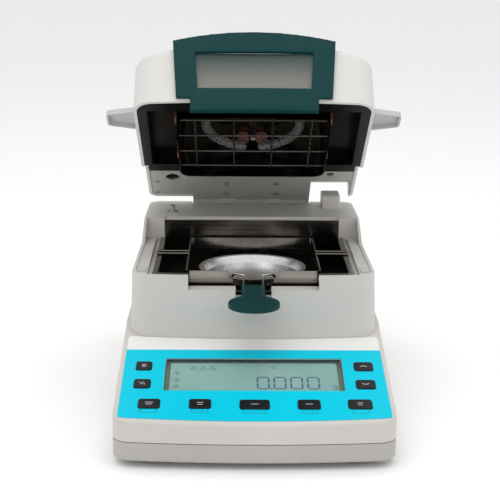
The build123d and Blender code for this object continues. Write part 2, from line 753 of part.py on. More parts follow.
def hood_box(inset, low, high):
    """Rounded box of the lamp hood."""
    width = 2 * (hood_half_width - inset)
    length = hood_rear - hood_front - 2 * inset
    outline = Pos(0, (hood_front + hood_rear) / 2) * RectangleRounded(width, length,
                                                                      hood_corner - inset)
    return Pos(0, 0, low) * extrude(outline, amount=high - low)


liner -= hood_box(0, 90, 200)
liner -= block(-44, 44, cavity_front - 5, cavity_front + 1, plate_low + 9, cavity_top - 2)
parts["lid_liner"] = liner
hood = hood_box(0, hood_low, hood_top + hood_wall) - hood_box(hood_wall, 90, hood_top)
hood += (hood_box(-6, cavity_top + wide, cavity_top + 2 * wide)
         - hood_box(hood_wall, 90, 200))
probe_radius = 2.5
hood -= upright(0, pan_centre + 3.5, 100, probe_radius, 200)
parts["lamp_hood"] = hood
reflector_low = hood_top - 1.2
reflector = hood_box(hood_wall, reflector_low, hood_top)
lamp_y = (hood_front + hood_rear) / 2
reflector -= upright(0, pan_centre + 3.5, 100, probe_radius, 200)
parts["reflector"] = reflector
lamp_profile = Pos(lamp_radius, 0, 0) * (Rot(90, 0, 0) * Circle(tube_radius))
lamp = revolve(lamp_profile, Axis.Z, revolution_arc=336)
lamp = Pos(0, lamp_y, lamp_height) * (Rot(0, 0, 102) * lamp)
sockets = []
for turn in (78, 102):
    x = lamp_radius * cos(radians(turn))
    y = lamp_y + lamp_radius * sin(radians(turn))
    lamp += Pos(x, y, lamp_height) * Sphere(tube_radius)
    lamp += upright(x, y, lamp_height, 2.6, reflector_low - lamp_height - 1)
    socket = upright(x, y, reflector_low - 5.5, 5.4, 5.5)
    sockets.append(socket - upright(x, y, 100, 2.6, reflector_low - 101))
parts["halogen_lamp"] = lamp
parts["lamp_sockets"] = group(sockets)
guard_height = hood_low + 5
guard = rod((-hood_half_width + hood_wall, hood_front + 12, guard_height),
            (hood_half_width - hood_wall, hood_front + 12, guard_height), 0.9)
for y in (hood_front + 38, hood_front + 65, hood_rear - 12):
    guard += rod((-hood_half_width + hood_wall, y, guard_height),
                 (hood_half_width - hood_wall, y, guard_height), 0.9)
for x in (-48, -16, 16, 48):
    guard += rod((x, hood_front + 9, guard_height), (x, hood_rear - 9, guard_height), 0.9)
parts["lamp_guard"] = guard
probe = upright(0, pan_centre + 3.5, hood_low + 8, probe_radius, hood_top - hood_low - 6)
probe += upright(0, pan_centre + 3.5, hood_top + hood_wall, 5.5, 3)
probe = fillet(probe.edges().sort_by(Axis.Z)[0], 1.5)
parts["temperature_probe"] = probe
clips = []
for side in (-1, 1):
    for y in (hood_front + 21, hood_rear - 22):
        x = side * hood_half_width
        clips.append(block(min(x, x + side * 2), max(x, x + side * 2), y - 5, y + 5,
                           hood_low + 9, cavity_top))
parts["hood_clips"] = group(clips)

plate = (hollow & block(-150, 150, strip_rear, 400, plate_rear_low,
                        plate_rear_low + plate_thickness))
plate += block(recess_left, recess_right - 1.2, recess_front_y - 1.5, lid_rear - lid_wall,
               plate_rear_low, recess_top + 1.5) & hollow
plate -= block(recess_left + 1.5, recess_right - 2.8, recess_front_y, 400, 100, recess_top)
plate -= (block(pin_x - 2, pin_x + 2, pin_y - 6.5, pin_y + 6.5, 100, 200)
          + upright(pin_x, pin_y, 100, 6.2, 100))
plate -= upright(70.7, base_length - 57.4, 100, 3.5, 100)
leaf_low = plate_rear_low - leaf_thickness
side_x = -block_rear_width / 2 + 8.5
side_screws = [(side_x, base_length - 42.0), (side_x, base_length - 21.0),
               (36.0, base_length - 53.0), (-36.0, base_length - 53.0)]
leaf_screws = [(x, y) for x in (-22.7, 22.7) for y in (base_length - 41.0, base_length - 20.5)]
screws = []
for x, y in side_screws:
    screws.append(make_screw(x, y, plate_rear_low, 2.8, plate_thickness, 1.4, 5))
    plate -= upright(x, y, 100, 2.8, 100)
for x, y in leaf_screws:
    screws.append(make_screw(x, y, leaf_low, 2.8, leaf_thickness, 1.4, 6))
    plate -= upright(x, y, 100, 1.4, 100)
parts["lid_rear_plate"] = plate
parts["lid_screws"] = group(screws)

# hinge
leaf = block(-hinge_half_length, hinge_half_length, leaf_front, hinge_y, leaf_low, plate_rear_low)
axis_rod = rod((-hinge_half_length, hinge_y, hinge_z), (hinge_half_length, hinge_y, hinge_z),
               barrel_radius)
leaf += axis_rod
leaf -= block(-60, 60, hinge_y - barrel_radius - 1, hinge_y - barrel_radius + 0.4, 100, leaf_low)
for low, high in base_knuckles:
    leaf -= block(low - side_gap, high + side_gap, hinge_y - barrel_radius - 1.0, 400, 100, 200)
leaf -= rod((-90, hinge_y, hinge_z), (90, hinge_y, hinge_z), hinge_pin_radius + running_gap)
for x, y in leaf_screws:
    leaf -= upright(x, y, 100, 2.8, 100)
parts["lid_hinge_leaf"] = leaf
arms = []
for low, high in base_knuckles:
    arm = block(low, high, base_arm_front, hinge_y, plateau_height - base_arm_thickness,
                plateau_height)
    arm += rod((low, hinge_y, hinge_z), (high, hinge_y, hinge_z), barrel_radius)
    arms.append(arm - rod((-90, hinge_y, hinge_z), (90, hinge_y, hinge_z), hinge_pin_radius))
parts["base_hinge_leaves"] = group(arms)
parts["hinge_pin"] = rod((-hinge_half_length, hinge_y, hinge_z),
                         (hinge_half_length, hinge_y, hinge_z), hinge_pin_radius)

# window frame and glass
outer_face = make_face(Polyline(
    (-frame_bottom_half_width, window_start, rim_height + frame_low),
    (frame_bottom_half_width, window_start, rim_height + frame_low),
    (frame_top_half_width, window_start, 190),
    (-frame_top_half_width, window_start, 190), close=True)).face()
frame = extrude(outer_face, amount=block_front + frame_wrap - window_start, dir=(0, 1, 0))
frame &= lid_form(-frame_proud)
frame -= parts["lid_shell"]
frame -= lid_form(0) - block(-200, 200, 0, 400, 0, rim_height)
tongue_low = rim_height - tongue_drop
tongue = block(-tongue_half_width, tongue_half_width, 0, block_front - 1.0, tongue_low,
               rim_height + frame_low + 1)
front_plan = plan(block_front_width + 2 * frame_proud, block_rear_width + 2 * frame_proud,
                  block_front - block_bow - frame_proud, lid_rear, block_bow, 18, 6)
tongue &= Pos(0, 0, 90) * extrude(front_plan, amount=60)
tongue -= lid_form(0)
frame += tongue
frame -= window_cut
parts["window_frame"] = frame
glass_front = block_front - block_bow + 0.95
glass = window_cut & block(-100, 100, glass_front, glass_front + glass_thickness, 90, 200)
parts["window_glass"] = glass

for name, side in (("left_grip", -1), ("right_grip", 1)):
    root = block_rear_width / 2 - 4
    tip = block_front_width / 2 + grip_reach
    points = [(side * root, grip_front), (side * root, grip_front + grip_length),
              (side * tip, grip_front + 24), (side * tip, grip_front + 6.5)]
    face = make_face(Polyline(*points, close=True)).face()
    grip = Pos(0, 0, lid_low) * extrude(face, amount=grip_thickness, dir=(0, 0, 1))
    outer_edges = grip.edges().filter_by(Axis.Z).filter_by(
        lambda e: abs(e.center().X) > (root + tip) / 2)
    grip = fillet(outer_edges, 4.0)
    grip = fillet(grip.faces().sort_by(Axis.Z)[-1].edges(), 1.5)
    inner = offset(face, -grip_wall)
    grip -= (Pos(0, 0, lid_low - 1) * extrude(inner, amount=grip_thickness - grip_wall + 1,
                                              dir=(0, 0, 1)))
    grip -= shell_outer
    parts[name] = grip

lid_parts = ["lid_shell", "lid_liner", "lid_rear_plate", "lid_screws", "lamp_hood", "reflector",
             "halogen_lamp", "lamp_sockets", "lamp_guard", "temperature_probe", "hood_clips",
             "window_frame", "window_glass", "left_grip", "right_grip", "lid_hinge_leaf"]
hinge_axis = Axis((0, hinge_y, hinge_z), (1, 0, 0))
for name in lid_parts:
    parts[name] = parts[name].rotate(hinge_axis, -open_angle)

boxes = [part.bounding_box() for part in parts.values()]
back = max(box.max.Y for box in boxes)
front = min(box.min.Y for box in boxes)
shift = -(back + front) / 2
os.makedirs("parts", exist_ok=True)
for name, part in parts.items():
    moved = Pos(0, shift, 0) * part
    export_step(moved, f"parts/{name}.step")
    box = moved.bounding_box()
    print(name, [round(v, 2) for v in (box.min.X, box.max.X, box.min.Y, box.max.Y, box.min.Z,
                                       box.max.Z)], round(moved.volume), moved.is_valid,
          len(moved.solids()))
print("shift", shift)
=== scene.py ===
# Dressing of the moisture analyzer: finishes, the marks on its panel, its display, light and camera.
from math import cos, radians, sin

import bpy
from mathutils import Matrix, Vector


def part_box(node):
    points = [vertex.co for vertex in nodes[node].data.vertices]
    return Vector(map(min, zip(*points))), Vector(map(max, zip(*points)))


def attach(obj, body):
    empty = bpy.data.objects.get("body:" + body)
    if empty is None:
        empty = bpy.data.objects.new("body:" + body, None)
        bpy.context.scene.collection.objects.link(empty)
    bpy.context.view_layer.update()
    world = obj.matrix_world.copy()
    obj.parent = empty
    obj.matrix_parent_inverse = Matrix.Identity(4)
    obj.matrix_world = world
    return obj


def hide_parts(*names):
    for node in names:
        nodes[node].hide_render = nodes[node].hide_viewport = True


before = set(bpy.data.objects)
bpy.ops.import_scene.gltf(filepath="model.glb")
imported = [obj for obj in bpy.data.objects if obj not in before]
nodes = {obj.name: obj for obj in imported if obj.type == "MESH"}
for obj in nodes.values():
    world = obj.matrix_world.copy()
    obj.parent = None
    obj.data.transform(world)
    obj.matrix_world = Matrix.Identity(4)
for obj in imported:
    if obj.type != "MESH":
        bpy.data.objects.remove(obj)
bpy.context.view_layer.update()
mm = 0.001
print("frame loaded:", len(nodes), "nodes")

# the key panel's plane, and how far above it the faces lie that carry marks, in millimetres
panelLook = {
    "slope": 12.1, "frontEdgeY": 1.0, "frontEdgeZ": 35.3,
    "displayFace": -2.66, "filmFace": 0.5, "keyFace": 1.2,
}
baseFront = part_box("lower_housing")[0][1] / mm
panelMatrix = (
    Matrix.Translation(Vector((0, (baseFront + panelLook["frontEdgeY"]) * mm,
                               panelLook["frontEdgeZ"] * mm)))
    @ Matrix.Rotation(radians(panelLook["slope"]), 4, "X")
)


# shared effects
grainLook = {"toneDetail": 4, "grainDetail": 2, "grainShare": 0.35, "low": 0.35, "high": 0.95}
linesLook = {"lineDetail": 3, "stainScale": 22.0, "stainDetail": 4, "low": 0.12, "high": 0.42}


def newGroup(name, inputs, outputs):
    group = bpy.data.node_groups.new(name, "ShaderNodeTree")
    for label, kind, value in inputs:
        socket = group.interface.new_socket(label, in_out="INPUT", socket_type=kind)
        socket.default_value = value
    for label, kind in outputs:
        group.interface.new_socket(label, in_out="OUTPUT", socket_type=kind)
    return group, group.nodes.new("NodeGroupInput"), group.nodes.new("NodeGroupOutput")


def buildMouldedGrain(look):
    # fine spark-eroded texture with slow, faint changes of tone
    group, start, end = newGroup(
        "mouldedGrain",
        [("Light", "NodeSocketColor", (1, 1, 1, 1)), ("Dark", "NodeSocketColor", (0.8, 0.8, 0.8, 1)),
         ("Grain Scale", "NodeSocketFloat", 900.0), ("Tone Scale", "NodeSocketFloat", 9.0),
         ("Roughness", "NodeSocketFloat", 0.5), ("Spread", "NodeSocketFloat", 0.08)],
        [("Color", "NodeSocketColor"), ("Roughness", "NodeSocketFloat"),
         ("Height", "NodeSocketFloat")])
    place = group.nodes.new("ShaderNodeTexCoord")
    tone = group.nodes.new("ShaderNodeTexNoise")
    tone.inputs["Detail"].default_value = look["toneDetail"]
    grain = group.nodes.new("ShaderNodeTexNoise")
    grain.inputs["Detail"].default_value = look["grainDetail"]
    link = group.links.new
    link(place.outputs["Object"], tone.inputs["Vector"])
    link(place.outputs["Object"], grain.inputs["Vector"])
    link(start.outputs["Tone Scale"], tone.inputs["Scale"])
    link(start.outputs["Grain Scale"], grain.inputs["Scale"])
    both = group.nodes.new("ShaderNodeMath")
    both.operation = "MULTIPLY_ADD"
    both.inputs[1].default_value = look["grainShare"]
    link(grain.outputs["Fac"], both.inputs[0])
    link(tone.outputs["Fac"], both.inputs[2])
    ramp = group.nodes.new("ShaderNodeMapRange")
    ramp.inputs["From Min"].default_value = look["low"]
    ramp.inputs["From Max"].default_value = look["high"]
    link(both.outputs[0], ramp.inputs["Value"])
    mix = group.nodes.new("ShaderNodeMix")
    mix.data_type = "RGBA"
    link(ramp.outputs[0], mix.inputs["Factor"])
    link(start.outputs["Dark"], mix.inputs["A"])
    link(start.outputs["Light"], mix.inputs["B"])
    rough = group.nodes.new("ShaderNodeMath")
    rough.operation = "MULTIPLY_ADD"
    link(grain.outputs["Fac"], rough.inputs[0])
    link(start.outputs["Spread"], rough.inputs[1])
    link(start.outputs["Roughness"], rough.inputs[2])
    link(mix.outputs["Result"], end.inputs["Color"])
    link(rough.outputs[0], end.inputs["Roughness"])
    link(grain.outputs["Fac"], end.inputs["Height"])
    return group


def buildBrushedLines(look):
    # long fine scratches along one direction, with a little staining
    group, start, end = newGroup(
        "brushedLines",
        [("Light", "NodeSocketColor", (1, 1, 1, 1)), ("Dark", "NodeSocketColor", (0.8, 0.8, 0.8, 1)),
         ("Stretch", "NodeSocketVector", (8.0, 900.0, 900.0)),
         ("Roughness", "NodeSocketFloat", 0.25), ("Spread", "NodeSocketFloat", 0.15)],
        [("Color", "NodeSocketColor"), ("Roughness", "NodeSocketFloat"),
         ("Height", "NodeSocketFloat")])
    place = group.nodes.new("ShaderNodeTexCoord")
    stretch = group.nodes.new("ShaderNodeVectorMath")
    stretch.operation = "MULTIPLY"
    lines = group.nodes.new("ShaderNodeTexNoise")
    lines.inputs["Scale"].default_value = 1.0
    lines.inputs["Detail"].default_value = look["lineDetail"]
    stain = group.nodes.new("ShaderNodeTexNoise")
    stain.inputs["Scale"].default_value = look["stainScale"]
    stain.inputs["Detail"].default_value = look["stainDetail"]
    link = group.links.new
    link(place.outputs["Object"], stretch.inputs[0])
    link(start.outputs["Stretch"], stretch.inputs[1])
    link(stretch.outputs[0], lines.inputs["Vector"])
    link(place.outputs["Object"], stain.inputs["Vector"])
    both = group.nodes.new("ShaderNodeMath")
    both.operation = "MULTIPLY"
    link(lines.outputs["Fac"], both.inputs[0])
    link(stain.outputs["Fac"], both.inputs[1])
    ramp = group.nodes.new("ShaderNodeMapRange")
    ramp.inputs["From Min"].default_value = look["low"]
    ramp.inputs["From Max"].default_value = look["high"]
    link(both.outputs[0], ramp.inputs["Value"])
    mix = group.nodes.new("ShaderNodeMix")
    mix.data_type = "RGBA"
    link(ramp.outputs[0], mix.inputs["Factor"])
    link(start.outputs["Dark"], mix.inputs["A"])
    link(start.outputs["Light"], mix.inputs["B"])
    rough = group.nodes.new("ShaderNodeMath")
    rough.operation = "MULTIPLY_ADD"
    link(lines.outputs["Fac"], rough.inputs[0])
    link(start.outputs["Spread"], rough.inputs[1])
    link(start.outputs["Roughness"], rough.inputs[2])
    link(mix.outputs["Result"], end.inputs["Color"])
    link(rough.outputs[0], end.inputs["Roughness"])
    link(lines.outputs["Fac"], end.inputs["Height"])
    return group


mouldedGrain = buildMouldedGrain(grainLook)
brushedLines = buildBrushedLines(linesLook)


def blankMaterial(name):
    material = bpy.data.materials.new(name)
    material.use_nodes = True
    return material, material.node_tree, material.node_tree.nodes["Principled BSDF"]


def withGroup(tree, shader, group, values, bump, distance=0.0002):
    # puts a shared effect in a material and joins it to the shader
    effect = tree.nodes.new("ShaderNodeGroup")
    effect.node_tree = group
    for label, value in values.items():
        effect.inputs[label].default_value = value
    tree.links.new(effect.outputs["Color"], shader.inputs["Base Color"])
    tree.links.new(effect.outputs["Roughness"], shader.inputs["Roughness"])
    height = tree.nodes.new("ShaderNodeBump")
    height.inputs["Strength"].default_value = bump
    height.inputs["Distance"].default_value = distance
    tree.links.new(effect.outputs["Height"], height.inputs["Height"])
    tree.links.new(height.outputs["Normal"], shader.inputs["Normal"])
    return effect


def mouldedPlastic(name, light, dark, roughness, bump=0.25, grainScale=1100.0, shine=0.5):
    material, tree, shader = blankMaterial(name)
    withGroup(tree, shader, mouldedGrain,
              {"Light": light + (1,), "Dark": dark + (1,), "Roughness": roughness,
               "Grain Scale": grainScale}, bump)
    shader.inputs["Specular IOR Level"].default_value = shine
    return material


def brushedMetal(name, light, dark, roughness, stretch=(8.0, 900.0, 900.0), bump=0.12):
    material, tree, shader = blankMaterial(name)
    withGroup(tree, shader, brushedLines,
              {"Light": light + (1,), "Dark": dark + (1,), "Roughness": roughness,
               "Stretch": stretch}, bump, 0.00005)
    shader.inputs["Metallic"].default_value = 1.0
    return material


glassLook = {"smearScale": 30.0, "smearSpread": 0.08, "ior": 1.45}


def clearGlass(name, colour, roughness, transmission):
    material, tree, shader = blankMaterial(name)
    smears = tree.nodes.new("ShaderNodeTexNoise")
    smears.inputs["Scale"].default_value = glassLook["smearScale"]
    place = tree.nodes.new("ShaderNodeTexCoord")
    tree.links.new(place.outputs["Object"], smears.inputs["Vector"])
    spread = tree.nodes.new("ShaderNodeMapRange")
    spread.inputs["To Min"].default_value = roughness
    spread.inputs["To Max"].default_value = roughness + glassLook["smearSpread"]
    tree.links.new(smears.outputs["Fac"], spread.inputs["Value"])
    tree.links.new(spread.outputs[0], shader.inputs["Roughness"])
    shader.inputs["Base Color"].default_value = colour + (1,)
    shader.inputs["Transmission Weight"].default_value = transmission
    shader.inputs["IOR"].default_value = glassLook["ior"]
    return material


def coverFilm(name, colour, roughness, alpha):
    # clear cover that lets the light of the room reach what lies under it
    material = clearGlass(name, colour, roughness, 0.0)
    material.node_tree.nodes["Principled BSDF"].inputs["Alpha"].default_value = alpha
    return material


# the pane's two colours carry painted shade: dark at the top, paler at the bottom
paneShadeLook = {
    "top": (0.03, 0.06, 0.06), "bottom": (0.27, 0.26, 0.23), "roughness": 0.12, "shine": 0.2,
}


def shadedPaneMaterial(look):
    # tinted pane with painted shade: darker towards its top, growing paler towards its lower edge
    material, tree, shader = blankMaterial("shadedWindowPane")
    low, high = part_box("window_glass")
    place = tree.nodes.new("ShaderNodeTexCoord")
    parts = tree.nodes.new("ShaderNodeSeparateXYZ")
    tree.links.new(place.outputs["Object"], parts.inputs[0])
    rise = tree.nodes.new("ShaderNodeMapRange")
    rise.inputs["From Min"].default_value = low[2]
    rise.inputs["From Max"].default_value = high[2]
    tree.links.new(parts.outputs["Z"], rise.inputs["Value"])
    mix = tree.nodes.new("ShaderNodeMix")
    mix.data_type = "RGBA"
    mix.inputs["A"].default_value = look["bottom"] + (1,)
    mix.inputs["B"].default_value = look["top"] + (1,)
    tree.links.new(rise.outputs[0], mix.inputs["Factor"])
    tree.links.new(mix.outputs["Result"], shader.inputs["Base Color"])
    shader.inputs["Roughness"].default_value = look["roughness"]
    shader.inputs["Specular IOR Level"].default_value = look["shine"]
    return material


filmLook = {
    "bandStart": 104.4, "light": (0.0, 0.60, 0.78), "dark": (0.0, 0.53, 0.71),
    "band": (0.80, 0.80, 0.78), "roughness": 0.33, "grainScale": 2400.0, "toneScale": 5.0,
    "shine": 0.08, "bump": 0.05, "bumpDistance": 0.0001,
}


def filmMaterial(look):
    # printed film: blue-green below, a pale band above
    material, tree, shader = blankMaterial("printedFilm")
    place = tree.nodes.new("ShaderNodeTexCoord")
    parts = tree.nodes.new("ShaderNodeSeparateXYZ")
    tree.links.new(place.outputs["Object"], parts.inputs[0])
    edge = (panelMatrix @ Vector((0, look["bandStart"] * mm, 0))).y
    above = tree.nodes.new("ShaderNodeMath")
    above.operation = "GREATER_THAN"
    above.inputs[1].default_value = edge
    tree.links.new(parts.outputs["Y"], above.inputs[0])
    grain = tree.nodes.new("ShaderNodeGroup")
    grain.node_tree = mouldedGrain
    for label, value in (("Light", look["light"] + (1,)), ("Dark", look["dark"] + (1,)),
                         ("Roughness", look["roughness"]), ("Grain Scale", look["grainScale"]),
                         ("Tone Scale", look["toneScale"])):
        grain.inputs[label].default_value = value
    shader.inputs["Specular IOR Level"].default_value = look["shine"]
    mix = tree.nodes.new("ShaderNodeMix")
    mix.data_type = "RGBA"
    mix.inputs["B"].default_value = look["band"] + (1,)
    tree.links.new(above.outputs[0], mix.inputs["Factor"])
    tree.links.new(grain.outputs["Color"], mix.inputs["A"])
    tree.links.new(mix.outputs["Result"], shader.inputs["Base Color"])
    tree.links.new(grain.outputs["Roughness"], shader.inputs["Roughness"])
    bump = tree.nodes.new("ShaderNodeBump")
    bump.inputs["Strength"].default_value = look["bump"]
    bump.inputs["Distance"].default_value = look["bumpDistance"]
    tree.links.new(grain.outputs["Height"], bump.inputs["Height"])
    tree.links.new(bump.outputs["Normal"], shader.inputs["Normal"])
    return material


displayLook = {
    "light": (0.26, 0.46, 0.41), "dark": (0.17, 0.37, 0.35), "roughness": 0.3,
    "grainScale": 3000.0, "toneScale": 26.0, "bump": 0.02,
}


def displayMaterial(look):
    # liquid crystal panel, a little darker and bluer in cloudy patches
    material, tree, shader = blankMaterial("liquidCrystal")
    withGroup(tree, shader, mouldedGrain,
              {"Light": look["light"] + (1,), "Dark": look["dark"] + (1,),
               "Roughness": look["roughness"], "Grain Scale": look["grainScale"],
               "Tone Scale": look["toneScale"]}, look["bump"])
    return material


finishes = {
    "whiteShell": mouldedPlastic("whiteShell", (0.68, 0.67, 0.64), (0.62, 0.61, 0.58), 0.42),
    "warmShell": mouldedPlastic("warmShell", (0.61, 0.59, 0.555), (0.55, 0.53, 0.495), 0.45),
    "baseTray": mouldedPlastic("baseTray", (0.47, 0.455, 0.43), (0.42, 0.405, 0.38), 0.5),
    "blackKey": mouldedPlastic("blackKey", (0.008, 0.009, 0.011), (0.004, 0.005, 0.006), 0.3,
                               0.15, 1500.0, 0.22),
    "circuitBoard": mouldedPlastic("circuitBoard", (0.03, 0.16, 0.07), (0.02, 0.10, 0.05), 0.4),
    "milledAluminium": brushedMetal("milledAluminium", (0.72, 0.73, 0.75), (0.6, 0.6, 0.62), 0.25),
    "linerSteel": brushedMetal("linerSteel", (0.20, 0.185, 0.165), (0.07, 0.06, 0.05), 0.10,
                               (6.0, 6.0, 1100.0)),
    "probeSteel": brushedMetal("probeSteel", (0.40, 0.38, 0.35), (0.25, 0.23, 0.20), 0.2),
    "shieldSteel": brushedMetal("shieldSteel", (0.34, 0.32, 0.29), (0.20, 0.185, 0.16), 0.10,
                                (6.0, 6.0, 1200.0)),
    "panSheet": brushedMetal("panSheet", (0.86, 0.86, 0.87), (0.74, 0.74, 0.76), 0.18,
                             (200.0, 200.0, 200.0)),
    "brightWire": brushedMetal("brightWire", (0.70, 0.70, 0.70), (0.5, 0.5, 0.5), 0.14),
    "darkWire": brushedMetal("darkWire", (0.16, 0.15, 0.14), (0.06, 0.06, 0.05), 0.18),
    "tealPlastic": mouldedPlastic("tealPlastic", (0.0035, 0.046, 0.047), (0.0025, 0.035, 0.037),
                                  0.36, 0.15, 1100.0, 0.12),
    "shadedWindowPane": shadedPaneMaterial(paneShadeLook),
    "screenCover": coverFilm("screenCover", (0.80, 0.86, 0.84), 0.04, 0.06),
    "gripGrey": mouldedPlastic("gripGrey", (0.52, 0.53, 0.52), (0.46, 0.47, 0.46), 0.5, 0.35),
    "softRubber": mouldedPlastic("softRubber", (0.03, 0.03, 0.03), (0.02, 0.02, 0.02), 0.7, 0.5),
    "blackSheet": mouldedPlastic("blackSheet", (0.006, 0.006, 0.005), (0.003, 0.003, 0.003), 0.2,
                                 0.1, 700.0, 0.12),
    "paintedPlate": mouldedPlastic("paintedPlate", (0.46, 0.45, 0.42), (0.40, 0.39, 0.36), 0.4),
    "hoodSteel": brushedMetal("hoodSteel", (0.10, 0.09, 0.08), (0.03, 0.027, 0.022), 0.12,
                              (6.0, 6.0, 900.0)),
    "reflectorSheet": brushedMetal("reflectorSheet", (0.18, 0.165, 0.15), (0.06, 0.055, 0.05),
                                   0.08),
    "quartzTube": clearGlass("quartzTube", (0.45, 0.43, 0.41), 0.01, 0.75),
    "filamentWire": brushedMetal("filamentWire", (0.30, 0.28, 0.26), (0.12, 0.11, 0.10), 0.25),
    "redCeramic": mouldedPlastic("redCeramic", (0.30, 0.11, 0.06), (0.20, 0.07, 0.04), 0.6, 0.4),
    "hingeSteel": brushedMetal("hingeSteel", (0.16, 0.16, 0.16), (0.08, 0.08, 0.08), 0.3),
    "zincScrew": brushedMetal("zincScrew", (0.55, 0.55, 0.54), (0.38, 0.38, 0.37), 0.25),
    "blackPlastic": mouldedPlastic("blackPlastic", (0.02, 0.02, 0.02), (0.012, 0.012, 0.012),
                                   0.45),
    "printedFilm": filmMaterial(filmLook),
    "liquidCrystal": displayMaterial(displayLook),
    "segmentInk": mouldedPlastic("segmentInk", (0.003, 0.055, 0.21), (0.002, 0.045, 0.17), 0.4, 0.0),
    # dark print of the key frames, and also the colour of the painted bezel shadow on the display
    "darkInkAndShadow": mouldedPlastic("darkInkAndShadow", (0.006, 0.03, 0.045), (0.004, 0.02, 0.03), 0.4, 0.0),
    "whiteInk": mouldedPlastic("whiteInk", (0.62, 0.64, 0.65), (0.55, 0.57, 0.58), 0.4, 0.0),
}
print("finishes ready:", len(finishes))

keyNodes = ["menu_key", "unit_key", "up_key", "down_key", "calibrate_key", "start_key",
            "tare_key", "enter_key", "power_key"]
footNodes = ["foot_front_left", "foot_front_right", "foot_rear_left", "foot_rear_right"]
wears = {
    "whiteShell": ["lid_shell"],
    "warmShell": ["upper_housing", "cable_duct"],
    "baseTray": ["lower_housing"],
    "blackKey": keyNodes,
    "circuitBoard": ["keypad_board", "main_board", "power_supply"],
    "milledAluminium": ["load_cell", "load_cell_bracket"],
    "linerSteel": ["chamber_liner", "heat_shield"],
    "probeSteel": ["pan_support", "temperature_probe"],
    "shieldSteel": ["draft_shield"],
    "panSheet": ["sample_pan"],
    "brightWire": ["fork_wire"],
    "darkWire": ["lamp_guard"],
    "tealPlastic": ["fork_handle", "window_frame"],
    "shadedWindowPane": ["window_glass"],
    "screenCover": ["lcd_window"],
    "liquidCrystal": ["lcd_module"],
    "gripGrey": ["left_grip", "right_grip", "lid_rest_pads"],
    "softRubber": footNodes,
    "blackSheet": ["lid_liner"],
    "paintedPlate": ["lid_rear_plate", "lid_hinge_leaf", "base_hinge_leaves"],
    "hoodSteel": ["lamp_hood"],
    "reflectorSheet": ["reflector"],
    "quartzTube": ["halogen_lamp"],
    "redCeramic": ["lamp_sockets", "hood_clips"],
    "hingeSteel": ["hinge_pin"],
    "zincScrew": ["lid_screws", "housing_screws", "lid_locating_pin"],
    "blackPlastic": ["mains_inlet", "serial_port", "fuse_holder"],
    "printedFilm": ["keypad_overlay"],
}
for finish, names in wears.items():
    for name in names:
        nodes[name].data.materials.clear()
        nodes[name].data.materials.append(finishes[finish])


# marks on the panel, drawn flat in the panel's own millimetres and then laid on it
strokeLook = {"cornerCut": 0.42, "thickness": 0.04}


def clearSelection():
    for item in bpy.context.selected_objects:
        item.select_set(False)


def bar(x, y, width, length, turn=0.0):
    # one flat stroke with cut corners, used for printed marks and for the painted shadow bar
    clearSelection()
    bpy.ops.mesh.primitive_plane_add(size=1, location=(x, y, 0))
    stroke = bpy.context.object
    stroke.scale = (width, length, 1)
    stroke.rotation_euler = (0, 0, turn)
    bpy.ops.object.transform_apply(location=True, rotation=True, scale=True)
    bpy.ops.object.mode_set(mode="EDIT")
    bpy.ops.mesh.select_all(action="SELECT")
    bpy.ops.mesh.bevel(offset=min(width, length) * strokeLook["cornerCut"], segments=1, affect="VERTICES")
    bpy.ops.object.mode_set(mode="OBJECT")
    return stroke


def drawn(place, strokes):
    # strokes given as offsets from one place: across, along, width, length and turn
    return [bar(place[0] + stroke[0], place[1] + stroke[1], *stroke[2:]) for stroke in strokes]


def layOnPanel(strokes, name, body, finish, height, thickness=strokeLook["thickness"]):
    # joins strokes, gives them a little thickness and lays them on the panel
    clearSelection()
    for stroke in strokes:
        stroke.select_set(True)
    bpy.context.view_layer.objects.active = strokes[0]
    bpy.ops.object.join()
    mark = bpy.context.object
    mark.name = name
    mark.data.name = name
    mark.scale = (mm, mm, mm)
    bpy.ops.object.transform_apply(location=True, rotation=True, scale=True)
    thick = mark.modifiers.new("thickness", "SOLIDIFY")
    thick.thickness = thickness * mm
    thick.offset = 1.0
    bpy.ops.object.modifier_apply(modifier="thickness")
    mark.matrix_world = panelMatrix @ Matrix.Translation((0, 0, height * mm))
    bpy.ops.object.transform_apply(location=True, rotation=True, scale=True)
    mark.data.materials.append(finishes[finish])
    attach(mark, body)


digitLook = {
    "count": 4, "left": 2.6, "pitch": 12.6, "width": 8.4, "low": 52.1, "height": 16.4,
    "stroke": 1.3, "gap": 0.5, "pointBack": 2.1, "pointSize": 1.7,
    "unitPlace": (59.0, 52.6),
    "unitStrokes": [(0, 2.2, 0.6, 3.2), (3.4, 1.2, 0.6, 5.6), (1.7, 4.0, 3.4, 0.6),
                    (1.7, 0.6, 3.4, 0.6), (1.7, -1.6, 3.4, 0.6)],
}


def zeroDigit(left, look):
    # six strokes of a seven-part digit that reads nought
    w, h, t = look["width"], look["height"], look["stroke"]
    low, middle, top = look["low"], look["low"] + h / 2, look["low"] + h
    reach = h / 2 - look["gap"] * 2
    strokes = []
    for y in (low, top):
        strokes.append(bar(left + w / 2, y, w - 2 * look["gap"], t))
    for x in (left, left + w):
        for y in ((low + middle) / 2, (middle + top) / 2):
            strokes.append(bar(x, y, t, reach))
    return strokes


def makeReading(look):
    # noughts with a point after the first, and a small letter g for grams
    strokes = []
    for index in range(look["count"]):
        strokes += zeroDigit(look["left"] + index * look["pitch"], look)
    strokes.append(bar(look["left"] + look["pitch"] - look["pointBack"], look["low"],
                       look["pointSize"], look["pointSize"]))
    strokes += drawn(look["unitPlace"], look["unitStrokes"])
    layOnPanel(strokes, "display_reading", "base", "segmentInk", panelLook["displayFace"])


# a painted shadow along the display's top edge, where the bezel shades it
bezelShadowLook = {
    "shadowHeight": 90.9, "shadowWidth": 133.0, "shadowLength": 0.9, "shadowThickness": 2.2,
}


def makeBezelShadow(look):
    # painted shadow of the bezel: a dark bar that stands against the display's far wall
    layOnPanel([bar(0, look["shadowHeight"], look["shadowWidth"], look["shadowLength"])],
               "display_bezel_shadow", "base", "darkInkAndShadow", panelLook["displayFace"],
               look["shadowThickness"])


